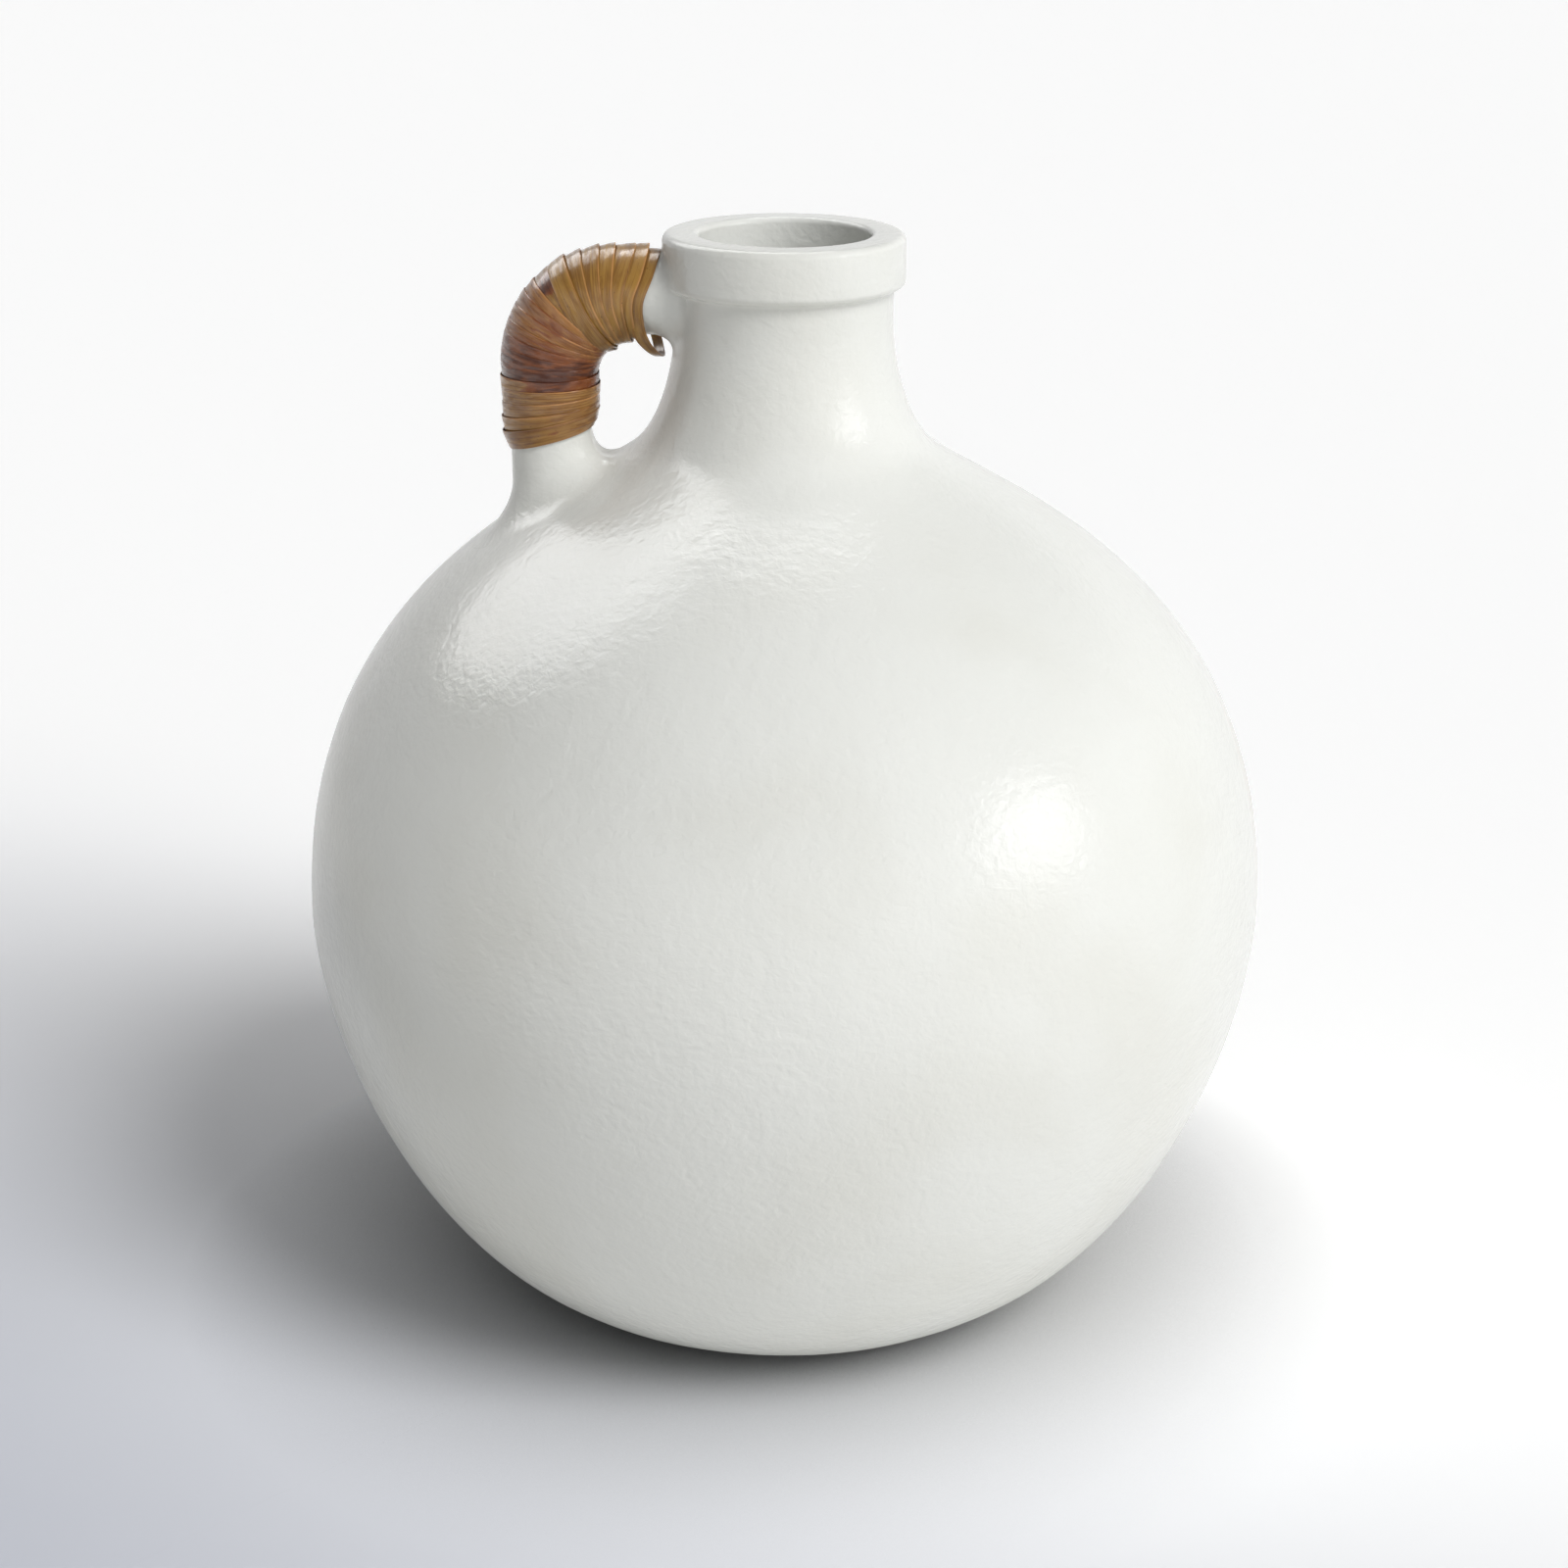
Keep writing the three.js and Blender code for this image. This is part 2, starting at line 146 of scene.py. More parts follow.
# The wall is uneven by some tenths of a millimetre, as the hand left it, in broad hollows with
# narrower ones in them. The foot stays flat, and the clay round the roots of the handle smooth.
UNEVENNESS = 0.0006
UNEVEN_SPREAD = 0.035
BROAD_HOLLOWS = 0.35
NARROW_HOLLOWS = 0.15
NARROWER = 2.7
HANDLE_REACH = 0.0708
SMOOTH_ROUND_HANDLE = 0.035
handle_foot = Vector((-HANDLE_REACH, 0, dome_top.z))
handle_end = Vector((-WAIST_RADIUS, 0, collar_low.z))
worked_wall = []
for vertex in vase.data.vertices:
    spot = vertex.co.copy()
    to_handle = min((spot - handle_foot).length, (spot - handle_end).length)
    free = min(max(to_handle / SMOOTH_ROUND_HANDLE - 1, 0), 1, spot.z / FLOOR_THICKNESS)
    broad = noise.noise(spot / UNEVEN_SPREAD)
    narrow = noise.noise(spot * NARROWER / UNEVEN_SPREAD)
    hollow = 0.5 + BROAD_HOLLOWS * broad + NARROW_HOLLOWS * narrow
    worked_wall.append(spot - UNEVENNESS * free * hollow * vertex.normal)
for vertex, spot in zip(vase.data.vertices, worked_wall):
    vertex.co = spot
vase.data.update()

# The glaze is a satin white, thinner in clouds, and smoothest where it is thickest. Marks of the
# potter's rib and fine wrinkles show through it.
GLAZE_WHITE = (0.800, 0.808, 0.772, 1)
GLAZE_THIN = (0.765, 0.768, 0.722, 1)
BARE_CLAY = (0.46, 0.20, 0.115, 1)
BARE_CLAY_DARK = (0.36, 0.145, 0.08, 1)
# Each figure: how many per metre, its detail and its distortion
CLOUDS = (16, 2, 0)
RIB_MARKS = (95, 2, 0.8)
WRINKLES = (380, 2, 0.3)
WRINKLE_STRETCH = (1, 1, 1.15)
WRINKLE_SHARE = 0.7
RELIEF = 0.00027
THIN_CLOUDS = (0.42, 0.72)
SATIN_CLOUDS = (0.3, 0.7)
SATIN = (0.20, 0.24)
CLAY_ROUGHER = 0.6
# The bare foot fades out over these distances from the axis and heights.
BARE_RADIUS = (0.0560, 0.0575)
BARE_HEIGHT = (0.0004, 0.0010)


def add_node(sheet, kind, place, **settings):
    """A shader node at a place of the node sheet, with its settings."""
    node = sheet.nodes.new(kind)
    node.location = place
    for name, value in settings.items():
        setattr(node, name, value)
    return node


def feed(sheet, socket, value):
    """A value given to a socket: another node's output, or a number or colour."""
    if isinstance(value, (int, float, tuple)):
        socket.default_value = value
    else:
        sheet.links.new(value, socket)


def add_noise(sheet, place, vector, scale, detail, distortion):
    """A noise texture, its scale per unit of the vector."""
    node = add_node(sheet, "ShaderNodeTexNoise", place)
    node.inputs["Scale"].default_value = scale
    node.inputs["Detail"].default_value = detail
    node.inputs["Distortion"].default_value = distortion
    feed(sheet, node.inputs["Vector"], vector)
    return node.outputs["Fac"]


def add_range(sheet, place, value, low, high, to_low=0.0, to_high=1.0):
    """A value carried softly from one range to another."""
    node = add_node(sheet, "ShaderNodeMapRange", place, interpolation_type="SMOOTHSTEP")
    node.inputs["From Min"].default_value = low
    node.inputs["From Max"].default_value = high
    node.inputs["To Min"].default_value = to_low
    node.inputs["To Max"].default_value = to_high
    feed(sheet, node.inputs["Value"], value)
    return node.outputs["Result"]


def add_math(sheet, place, operation, first, second):
    """Two values joined by an operation."""
    node = add_node(sheet, "ShaderNodeMath", place, operation=operation)
    feed(sheet, node.inputs[0], first)
    feed(sheet, node.inputs[1], second)
    return node.outputs["Value"]


def add_mix(sheet, place, factor, first, second):
    """Two colours mixed by a factor."""
    node = add_node(sheet, "ShaderNodeMix", place, data_type="RGBA")
    colours = [s for s in node.inputs if s.type == "RGBA"]
    feed(sheet, node.inputs["Factor"], factor)
    feed(sheet, colours[0], first)
    feed(sheet, colours[1], second)
    return [s for s in node.outputs if s.type == "RGBA"][0]


glaze = bpy.data.materials.new("satin_white_glaze")
glaze.use_nodes = True
sheet = glaze.node_tree
glaze_surface = sheet.nodes["Principled BSDF"]
vase_place = add_node(sheet, "ShaderNodeTexCoord", (-1500, 0)).outputs["Object"]
cloudy = add_noise(sheet, (-1250, 0), vase_place, *CLOUDS)
ribbed = add_noise(sheet, (-1250, -250), vase_place, *RIB_MARKS)
lying = add_node(sheet, "ShaderNodeMapping", (-1450, -500))
lying.inputs["Scale"].default_value = WRINKLE_STRETCH
feed(sheet, lying.inputs["Vector"], vase_place)
wrinkled = add_noise(sheet, (-1250, -500), lying.outputs["Vector"], *WRINKLES)

flattened = add_node(sheet, "ShaderNodeVectorMath", (-1450, 500), operation="MULTIPLY")
flattened.inputs[1].default_value = (1, 1, 0)
feed(sheet, flattened.inputs[0], vase_place)
from_axis = add_node(sheet, "ShaderNodeVectorMath", (-1250, 500), operation="LENGTH")
feed(sheet, from_axis.inputs[0], flattened.outputs["Vector"])
height = add_node(sheet, "ShaderNodeSeparateXYZ", (-1250, 300))
feed(sheet, height.inputs["Vector"], vase_place)
under = add_range(sheet, (-1050, 500), from_axis.outputs["Value"], *BARE_RADIUS, 1, 0)
standing = add_range(sheet, (-1050, 300), height.outputs["Z"], *BARE_HEIGHT, 1, 0)
bare = add_math(sheet, (-850, 400), "MULTIPLY", under, standing)

thin = add_range(sheet, (-1050, 0), cloudy, *THIN_CLOUDS)
glaze_colour = add_mix(sheet, (-650, 100), thin, GLAZE_WHITE, GLAZE_THIN)
clay_colour = add_mix(sheet, (-650, 350), wrinkled, BARE_CLAY, BARE_CLAY_DARK)
vase_colour = add_mix(sheet, (-400, 200), bare, glaze_colour, clay_colour)
feed(sheet, glaze_surface.inputs["Base Color"], vase_colour)

satin = add_range(sheet, (-1050, -150), cloudy, *SATIN_CLOUDS, *SATIN)
dry = add_math(sheet, (-850, -100), "MULTIPLY", bare, CLAY_ROUGHER)
vase_roughness = add_math(sheet, (-650, -100), "ADD", satin, dry)
feed(sheet, glaze_surface.inputs["Roughness"], vase_roughness)

fine = add_math(sheet, (-1050, -500), "MULTIPLY", wrinkled, WRINKLE_SHARE)
relief = add_math(sheet, (-850, -350), "ADD", ribbed, fine)
bump = add_node(sheet, "ShaderNodeBump", (-400, -350))
bump.inputs["Strength"].default_value = 1
bump.inputs["Distance"].default_value = RELIEF
feed(sheet, bump.inputs["Height"], relief)
feed(sheet, glaze_surface.inputs["Normal"], bump.outputs["Normal"])

vase.data.materials.append(glaze)
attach(vase, "root")
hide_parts("globe_lower_half", "globe_upper_half", "neck", "rim_collar")

# Handle
# A pulled roll of the same clay, bent over and luted on: its foot flares into the shoulder and
# its other end into the neck and the collar. The glaze runs on over it from the vase.

HANDLE_BEND = 0.0246
HANDLE_RADIUS = 0.0122
HANDLE_SIDES = 64
HANDLE_SMOOTH = math.radians(35)
BEND_STEPS = 24
ROOT_STEPS = 16
ROOT_SINK = 0.0010
ROOT_SOFTNESS = 0.6
# The last part of a root's reach, which gives the slope that the root runs out along
ROOT_RUN_OUT = 0.1
SAME_PLACE = 0.00001
# Lower root, on the outer side, the flanks and the inner side: reach over the shoulder and
# rise up the leg
LOWER_REACH = (0.013, 0.011, 0.0140)
LOWER_RISE = (0.011, 0.013, 0.019)
# Upper root, on the top, the flanks and the underside: reach over the neck and along the leg
UPPER_REACH = (0.0020, 0.0040, 0.0060)
UPPER_RISE = (0.0025, 0.0050, 0.0080)

upper_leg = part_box("handle_core")[1].z - HANDLE_RADIUS
bend_centre = Vector((HANDLE_BEND - HANDLE_REACH, 0, upper_leg - HANDLE_BEND))
above_belly = [p for p in outer_line if p.z >= belly.z]


def where_on_line(points, axis, value):
    """The point of a profile line where one of its coordinates has a value."""
    for a, b in zip(points, points[1:]):
        if min(a[axis], b[axis]) <= value <= max(a[axis], b[axis]) and a[axis] != b[axis]:
            return a.lerp(b, (value - a[axis]) / (b[axis] - a[axis]))
    return points[-1]


def shoulder_height(spot):
    """Height of the shoulder over a spot."""
    return where_on_line(above_belly, 0, math.hypot(spot.x, spot.y)).z


def neck_side(spot):
    """Where the neck or the collar stands, on the handle's side, level with a spot."""
    return -math.sqrt(max(where_on_line(above_belly, 2, spot.z).x ** 2 - spot.y ** 2, 0))


def round_the_root(values, angle):
    """A size of the root: the first at angle 0, the second on the flanks, the third across."""
    first, flank, across = values
    even = (first + across) / 2
    ovalness = (even - flank) / 2
    uneven = (first - across) / 2
    return even - ovalness + ovalness * math.cos(2 * angle) + uneven * math.cos(angle)


def root_line(angle, out, leg, along, axis, surface_at, reaches, rises):
    """A fillet from the handle to the vase, in the plane through the handle's middle line."""
    reach = round_the_root(reaches, angle)
    end = leg + reach * out
    end[axis] = surface_at(end)
    before = leg + (1 - ROOT_RUN_OUT) * reach * out
    before[axis] = surface_at(before)
    corner = end + (before - end) / ROOT_RUN_OUT
    start = corner - round_the_root(rises, angle) * along
    pull_start = start.lerp(corner, ROOT_SOFTNESS)
    pull_end = end.lerp(corner, ROOT_SOFTNESS)
    sunk = end + ROOT_SINK * along
    return interpolate_bezier(start, pull_start, pull_end, end, ROOT_STEPS) + [sunk]


def lower_root_line(spot):
    """The lower root's fillet through a spot."""
    angle = math.atan2(-spot.y, -HANDLE_REACH - spot.x)
    out = Vector((-math.cos(angle), -math.sin(angle), 0))
    leg = Vector((-HANDLE_REACH, 0, 0)) + HANDLE_RADIUS * out
    return root_line(angle, out, leg, -UP, 2, shoulder_height, LOWER_REACH, LOWER_RISE)


def upper_root_line(spot):
    """The upper root's fillet through a spot."""
    angle = math.atan2(-spot.y, spot.z - upper_leg)
    out = Vector((0, -math.sin(angle), math.cos(angle)))
    leg = Vector((0, 0, upper_leg)) + HANDLE_RADIUS * out
    return root_line(angle, out, leg, Vector((1, 0, 0)), 0, neck_side, UPPER_REACH, UPPER_RISE)


bpy.ops.object.select_all(action="DESELECT")
bpy.ops.mesh.primitive_circle_add(vertices=HANDLE_SIDES, radius=HANDLE_RADIUS)
handle = bpy.context.object
handle.name = "glazed_handle"
bpy.ops.object.mode_set(mode="EDIT")
bpy.ops.transform.translate(value=(-HANDLE_REACH, 0, bend_centre.z))
bpy.ops.mesh.spin(steps=BEND_STEPS, angle=math.pi / 2, center=bend_centre, axis=(0, -1, 0))
for axis, fillet_at in ((2, lower_root_line), (0, upper_root_line)):
    bpy.ops.mesh.select_mode(type="VERT")
    bpy.ops.mesh.select_all(action="DESELECT")
    shape = bmesh.from_edit_mesh(handle.data)
    for vertex in shape.verts:
        vertex.select = abs(vertex.co[axis] - bend_centre[axis]) < SAME_PLACE
    shape.select_flush(True)
    bmesh.update_edit_mesh(handle.data)
    for step in range(ROOT_STEPS + 1):
        bpy.ops.mesh.extrude_region_move()
        shape = bmesh.from_edit_mesh(handle.data)
        for vertex in shape.verts:
            if vertex.select:
                vertex.co = fillet_at(vertex.co)[step]
        bmesh.update_edit_mesh(handle.data)
    bpy.ops.mesh.edge_face_add()
bpy.ops.mesh.select_all(action="SELECT")
bpy.ops.mesh.remove_doubles(threshold=SAME_PLACE)
bpy.ops.mesh.normals_make_consistent(inside=False)
bpy.ops.object.mode_set(mode="OBJECT")
bpy.ops.object.shade_smooth_by_angle(angle=HANDLE_SMOOTH)

handle.data.materials.append(glaze)
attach(handle, "root")
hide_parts("handle_core")

# Cane winding
# Three lengths of flat cane, split from the outer skin of rattan and varnished, wound round the
# handle one after the other, the edge of each turn over the next. The lowest turns and the turns
# over the bend slant. The narrow last loop hangs loose at the neck, its end tucked in behind.

CANE_WIDTH = 0.0060
MEAN_WIDTH = 1.02
CANE_EDGE = 0.00032
CANE_CROWN = 0.3
CANE_CLEAR = 0.0003
CANE_STEP = 0.00036
CANE_HEIGHT = 0.0026
CANE_SECTION = 16
CANE_STEPS = 80
CANE_SMOOTH = math.radians(60)
# How square the cane's section is, from 1, an ellipse, to 0, a box: at its edges and its faces
EDGE_ROUNDNESS = 0.5
FACE_ROUNDNESS = 0.6
# How much fuller the winding is on the outside of the bend, and how that fades to the flanks
BEND_FULLNESS = 0.0018
FULLNESS_FADE = 1.5
WINDING_START = -0.0167
# Each stretch of the winding: how many turns, and how far one is from the next
WINDING = ((5.5, 0.0034), (7, 0.00276), (1, 0.0020), (6.5, 0.00285))
ALL_TURNS = sum(turns for turns, pitch in WINDING)
# First and last turn of each length
LOWER_TURNS = (-0.3, 4.70)
MIDDLE_TURNS = (4.71, 11.70)
UPPER_TURNS = (11.71, ALL_TURNS - 0.15)
# Turn, and how far its outer side is ahead of its flanks
SLANT = (
    (0, -0.0030),
    (1.5, -0.0012),
    (3.5, 0.0006),
    (11.5, 0.0006),
    (12.5, 0.0014),
    (13.5, 0.0027),
    (14.5, 0.0034),
    (16, 0.0040),
    (18, 0.0054),
    (19, 0.0061),
)
# Turn, and how far its inner side is behind its flanks
INNER_SLANT = (
    (0, -0.0030),
    (1.5, -0.0012),
    (3.5, 0.0006),
    (11.5, 0.0006),
    (13.5, 0.0024),
    (15, 0.0024),
    (17, 0.0016),
    (19, 0.0010),
)
# The one slant eases into the other between minus and plus this cosine of the way round.
SLANT_EASE = 0.6
# Turn of the last loop, and how far it has slipped towards the neck
SLIP = (
    (18.9, 0),
    (19.1, 0.0007),
    (19.2, 0.0014),
    (19.33, 0.0017),
    (19.38, 0.0023),
    (19.42, 0.0045),
    (19.47, 0.0074),
    (19.5, 0.0082),
    (19.58, 0.0066),
    (19.66, 0.0030),
    (19.74, 0.0006),
    (19.85, -0.0008),
)
# Turn of the last loop, and how far it hangs off the handle
SAG = (
    (19.30, 0),
    (19.34, 0.0006),
    (19.38, 0.0020),
    (19.42, 0.0037),
    (19.46, 0.0053),
    (19.50, 0.0063),
    (19.54, 0.0064),
    (19.60, 0.0048),
    (19.68, 0.0018),
    (19.74, 0.0003),
    (19.78, 0),
)
# The corners of those two lists are rounded over this many turns, before and after, in steps.
ROUNDING_STEP = 0.015
ROUNDING = (-2, -1, 0, 1, 2)
# Turn, and share of the full width, since the last loop is split narrow
BREADTH = ((18.7, 1), (19.1, 0.74), (19.25, 0.66), (19.4, 0.66), (19.5, 0.52), (19.75, 0.5))
# Turn, and height of its lower edge over the clay
BED = ((0, 0), (1, 0.0012), (2, 0.0014), (18, 0.0014), (19, 0.0004), (20, 0))
# Turn, and the least that it tilts
FIRST_TILT = ((0, 0.36), (0.4, 0.34), (1.2, 0.20), (2.2, 0))
# Turn, and how much of the tilt it has that lying on its neighbour gives
OVERLAP = ((0, 1), (18, 1), (19, 0))
MOST_TILT = 0.6
# Turn, spread in turns, and how much higher the cane stands there
HIGH_TURN = (3.7, 0.45, 0.0005)
PROUD_TURN = (13.25, 0.3, 0.0008)
# What the hand leaves uneven: how much, which of the variations, and its pace per turn
SLOW_WANDER = (0.0004, 1, 0.9)
QUICK_WANDER = (0.0002, 5, 3.1)
UNEVEN_STEP = (0.15, 2, 0.9)
UNEVEN_WIDTH = (0.05, 3, 0.9)
UNEVEN_HEIGHT = (0.00012, 4, 2.3)
VARIATION_SPACING = 7.3
# Turns to either side of a place that give the direction of the cane there
DIRECTION_SPAN = 0.02


def handle_at(distance):
    """Middle, direction and outer side of the handle, at a distance past the start of its bend."""
    angle = min(max(distance / HANDLE_BEND, 0), math.pi / 2)
    outer = Vector((-math.cos(angle), 0, math.sin(angle)))
    onward = Vector((math.sin(angle), 0, math.cos(angle)))
    middle = bend_centre + HANDLE_BEND * outer + (distance - HANDLE_BEND * angle) * onward
    return middle, onward, outer


def along_list(pairs, turn):
    """The value of a list of turns and values, at a turn."""
    for (a, low), (b, high) in zip(pairs, pairs[1:]):
        if turn <= b:
            return low + (high - low) * max(turn - a, 0) / (b - a)
    return pairs[-1][1]


def rounded_list(pairs, turn):
    """The value of a list at a turn, with its corners rounded."""
    return sum(along_list(pairs, turn + i * ROUNDING_STEP) for i in ROUNDING) / len(ROUNDING)


def at_turn(feature, turn):
    """How much of a feature is at a turn: all of it in its middle, fading on both sides."""
    middle, spread, amount = feature
    return amount * math.exp(-(((turn - middle) / spread) ** 2))


def ease(value, low, high):
    """A smooth step from 0 to 1 over a range."""
    part = min(max((value - low) / (high - low), 0), 1)
    return part * part * (3 - 2 * part)


def by_hand(variation, turn):
    """A smooth, repeatable unevenness along the winding, up to its amount either way."""
    amount, row, pace = variation
    return amount * noise.noise(Vector((turn * pace, row * VARIATION_SPACING, 0.5)))


def squared(value, roundness):
    """A cosine or sine pushed outwards, for an outline squarer than an ellipse."""
    return math.copysign(abs(value) ** roundness, value)


def seat_at(turn):
    """Seat of the winding on the handle, with its outward and forward directions."""
    distance = WINDING_START
    left = turn
    for turns, pitch in WINDING:
        distance += pitch * min(left, turns)
        left -= min(left, turns)
    angle = math.tau * turn
    inner_slant = along_list(INNER_SLANT, turn)
    outer_share = ease(math.cos(angle), -SLANT_EASE, SLANT_EASE)
    slant = inner_slant + (along_list(SLANT, turn) - inner_slant) * outer_share
    distance += slant * math.cos(angle) + rounded_list(SLIP, turn)
    distance += by_hand(SLOW_WANDER, turn) + by_hand(QUICK_WANDER, turn)
    middle, onward, outer = handle_at(distance)
    outward = math.cos(angle) * outer + math.sin(angle) * Vector((0, -1, 0))
    bent = 2 * abs(outer.x * outer.z)
    fullness = BEND_FULLNESS * bent * max(math.cos(angle), 0) ** FULLNESS_FADE
    return middle + (HANDLE_RADIUS + CANE_CLEAR + fullness) * outward, outward, onward


def wind_cane(name, turns, stains):
    """A length of cane wound from one turn to another, with its grain map and its stains."""
    outline = []
    for i in range(CANE_SECTION):
        around = math.tau * i / CANE_SECTION
        side = squared(math.cos(around), EDGE_ROUNDNESS) / 2
        depth = squared(math.sin(around), FACE_ROUNDNESS) / 2
        if depth > 0:
            depth *= 1 + CANE_CROWN * (1 - 4 * side * side)
        outline.append((side, depth))
    first_turn, last_turn = turns
    steps = round((last_turn - first_turn) * CANE_STEPS)
    points = []
    grain = []
    stain = []
    run = 0
    last_middle = None
    for step in range(steps + 1):
        turn = first_turn + (last_turn - first_turn) * step / steps
        seat, outward, onward = seat_at(turn)
        neighbour = seat_at(turn + 1 if turn < ALL_TURNS - 1 else turn - 1)[0]
        rise = CANE_STEP * (1 + by_hand(UNEVEN_STEP, turn)) / (neighbour - seat).length
        rise = max(min(rise, MOST_TILT) * along_list(OVERLAP, turn), along_list(FIRST_TILT, turn))
        level = math.sqrt(1 - rise * rise)
        width = CANE_WIDTH * along_list(BREADTH, turn) * (MEAN_WIDTH + by_hand(UNEVEN_WIDTH, turn))
        ahead = seat_at(turn + DIRECTION_SPAN)[0]
        behind = seat_at(turn - DIRECTION_SPAN)[0]
        along = (ahead - behind).normalized()
        square = (onward - onward.dot(along) * along).normalized()
        across = level * square + rise * outward
        through = level * outward - rise * square
        half = (CANE_EDGE * level + width * abs(rise)) / 2
        lift = max(min(along_list(BED, turn) + half, CANE_HEIGHT - half), half)
        lift += at_turn(HIGH_TURN, turn) + at_turn(PROUD_TURN, turn) + rounded_list(SAG, turn)
        lift += by_hand(UNEVEN_HEIGHT, turn)
        middle = seat + lift * outward
        if last_middle is not None:
            run += (middle - last_middle).length
        last_middle = middle
        for side, depth in outline:
            points.append(middle + width * side * across + CANE_EDGE * depth * through)
            grain.append((run, side * CANE_WIDTH))
            stain.append(along_list(stains, turn))
    faces = []
    for step in range(steps):
        for i in range(CANE_SECTION):
            row = step * CANE_SECTION
            j = (i + 1) % CANE_SECTION
            faces.append((row + i, row + j, row + CANE_SECTION + j, row + CANE_SECTION + i))
    faces.append(range(CANE_SECTION))
    faces.append(range(steps * CANE_SECTION, (steps + 1) * CANE_SECTION))
    mesh = bpy.data.meshes.new(name)
    mesh.from_pydata(points, [], faces)
    grain_map = mesh.uv_layers.new(name="grain")
    for loop in mesh.loops:
        grain_map.data[loop.index].uv = grain[loop.vertex_index]
    mesh.attributes.new("stain", "FLOAT", "POINT").data.foreach_set("value", stain)
    strip = bpy.data.objects.new(name, mesh)
    bpy.context.collection.objects.link(strip)
    bpy.ops.object.select_all(action="DESELECT")
    bpy.context.view_layer.objects.active = strip
    strip.select_set(True)
    bpy.ops.object.mode_set(mode="EDIT")
    bpy.ops.mesh.select_all(action="SELECT")
    bpy.ops.mesh.normals_make_consistent(inside=False)
    bpy.ops.object.mode_set(mode="OBJECT")
    bpy.ops.object.shade_smooth_by_angle(angle=CANE_SMOOTH)
    return strip


# The skin of the cane: long fibres, blotches, specks, stains, paler edges where it was split, and
# varnish that is rubbed thin in places.
STRAW = (0.52, 0.24, 0.085, 1)
RED_BROWN = (0.21, 0.062, 0.018, 1)
SPECK = (0.05, 0.02, 0.012, 1)
# Each figure: how many per metre along and across the cane, its detail and its distortion
FIBRES = (30, 2400, 3, 0)
BLOTCHES = (110, 420, 3, 0.6)
SPECKS = (700, 1500, 1, 0)
TONES = (14, 70, 1, 0)
RUBBED = (160, 700, 2, 0.5)
# How much a blotch counts beside a stain
BLOTCH_WEIGHT = 1.6
# From where to where each effect sets in, and from what to what it goes
SPLIT_EDGE = (0.0022, 0.0029, 0, 0.7)
PALE_FIGURE = (1.2, 1.8)
REDDENED = (1.10, 1.40)
SOAKED = (1.35, 1.75)
SPECKED = (0.70, 0.78, 0, 0.7)
FIBRE_ROUGHNESS = (0.3, 0.7, 0.30, 0.46)
VARNISH_LEFT = (0.36, 0.60, 0.25, 1)

SKIN_INPUTS = {
    "Grain": "Vector",
    "Stain": "Float",
    "Pale": "Color",
    "Deep": "Color",
    "Stained": "Color",
}
SKIN_OUTPUTS = {
    "Colour": "Color",
    "Roughness": "Float",
    "Varnish": "Float",
    "Height": "Float",
}
skin = bpy.data.node_groups.new("cane_skin", "ShaderNodeTree")
for socket, kind in SKIN_INPUTS.items():
    skin.interface.new_socket(socket, in_out="INPUT", socket_type="NodeSocket" + kind)
for socket, kind in SKIN_OUTPUTS.items():
    skin.interface.new_socket(socket, in_out="OUTPUT", socket_type="NodeSocket" + kind)
given = add_node(skin, "NodeGroupInput", (-1700, 0)).outputs


def cane_figure(height, figure):
    """A noise that runs with the cane, at a height of the node sheet."""
    per_metre_along, per_metre_across, detail, distortion = figure
    stretch = add_node(skin, "ShaderNodeMapping", (-1450, height))
    stretch.inputs["Scale"].default_value = (per_metre_along, per_metre_across, 1)
    feed(skin, stretch.inputs["Vector"], given["Grain"])
    return add_noise(skin, (-1200, height), stretch.outputs["Vector"], 1, detail, distortion)


fibre = cane_figure(200, FIBRES)
blotch = cane_figure(-50, BLOTCHES)
speck = cane_figure(-300, SPECKS)
tone = cane_figure(450, TONES)
rubbed = cane_figure(700, RUBBED)
across_cane = add_node(skin, "ShaderNodeSeparateXYZ", (-1450, -550))
feed(skin, across_cane.inputs["Vector"], given["Grain"])
from_middle = add_math(skin, (-1200, -550), "ABSOLUTE", across_cane.outputs["Y"], 0)
split_edge = add_range(skin, (-1000, -550), from_middle, *SPLIT_EDGE)
lively = add_math(skin, (-1000, 100), "ADD", fibre, blotch)
lively = add_math(skin, (-900, 250), "ADD", lively, tone)
pale_figure = add_range(skin, (-800, 100), lively, *PALE_FIGURE)
colour = add_mix(skin, (-600, 100), pale_figure, given["Deep"], given["Pale"])
worn = add_math(skin, (-800, -450), "MULTIPLY", split_edge, pale_figure)
colour = add_mix(skin, (-400, 100), worn, colour, STRAW)
patchy = add_math(skin, (-1000, -150), "MULTIPLY", blotch, BLOTCH_WEIGHT)
patchy = add_math(skin, (-800, -150), "ADD", patchy, given["Stain"])
reddened = add_range(skin, (-600, -50), patchy, *REDDENED)
soaked = add_range(skin, (-600, -200), patchy, *SOAKED)
colour = add_mix(skin, (-300, 100), reddened, colour, RED_BROWN)
colour = add_mix(skin, (-150, 100), soaked, colour, given["Stained"])
specked = add_range(skin, (-600, -350), speck, *SPECKED)
colour = add_mix(skin, (0, 100), specked, colour, SPECK)
made = add_node(skin, "NodeGroupOutput", (300, 0)).inputs
feed(skin, made["Colour"], colour)
feed(skin, made["Roughness"], add_range(skin, (0, -150), fibre, *FIBRE_ROUGHNESS))
feed(skin, made["Varnish"], add_range(skin, (0, -300), rubbed, *VARNISH_LEFT))
feed(skin, made["Height"], fibre)

FIBRE_RELIEF = 0.00006
VARNISH_ROUGHNESS = 0.18
VARNISH_IOR = 1.5
CANE_SHINE = 0.25


